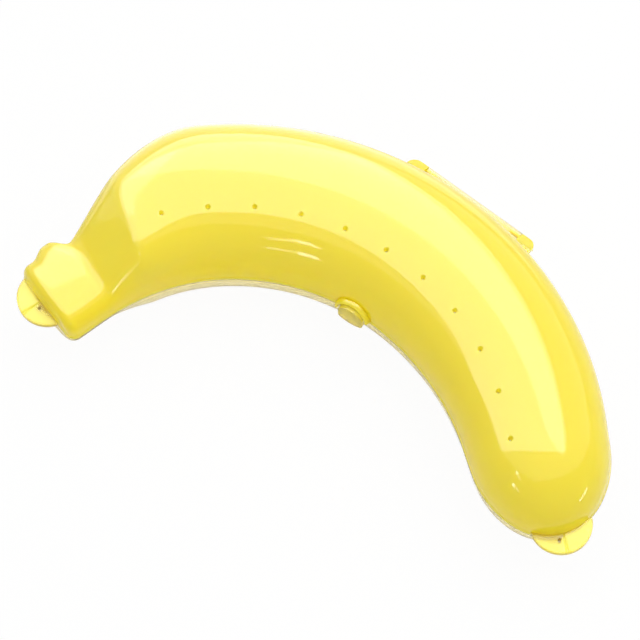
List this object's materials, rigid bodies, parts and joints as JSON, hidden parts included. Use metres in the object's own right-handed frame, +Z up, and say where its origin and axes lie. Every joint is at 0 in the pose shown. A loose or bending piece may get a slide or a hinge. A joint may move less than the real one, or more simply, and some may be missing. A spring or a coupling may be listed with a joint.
{
  "type": "banana carrying case",
  "caption": "Hinged banana-shaped hard case: a translucent yellow lid with vents and end tabs closes over a clear base, held by a flexing latch tongue.",
  "frame": {"origin": "on the flat foot of the base, under the middle line of the bend and in line with the middle of the hinge", "axes": "+X along the hinge towards the tip, +Y towards the convex side where the hinge is, +Z up from the foot to the lid"},
  "size_m": [0.1755, 0.1101, 0.0433],
  "materials": {
    "yellow_lid": "glossy translucent yellow moulded plastic",
    "clear_base": "glossy clear moulded plastic"
  },
  "bodies": {
    "base": {"base_shell": "clear_base", "hinge_barrel": "clear_base", "rim_lip_hinge_side": "clear_base", "rim_lip_latch_side": "clear_base"},
    "lid": {"lid_shell": "yellow_lid", "finger_tab_stem": "yellow_lid", "finger_tab_tip": "yellow_lid", "hinge_ear_stem": "yellow_lid", "hinge_ear_tip": "yellow_lid", "latch_arch": "yellow_lid"},
    "latch": {"latch_tongue": "clear_base"}
  },
  "joints": [
    {"name": "lid_hinge", "type": "hinge", "parent": "base", "child": "lid", "pos_m": [0, 0.0251, 0.01995], "axis": [-1, 0, 0], "range_deg": [0, 170]},
    {"name": "latch_flex", "type": "hinge", "parent": "base", "child": "latch", "pos_m": [-0.00598, -0.02489, 0.01705], "axis": [0.9954, 0.0958, 0], "range_deg": [0, 8], "stiffness_Nm_per_rad": 0.05}
  ]
}
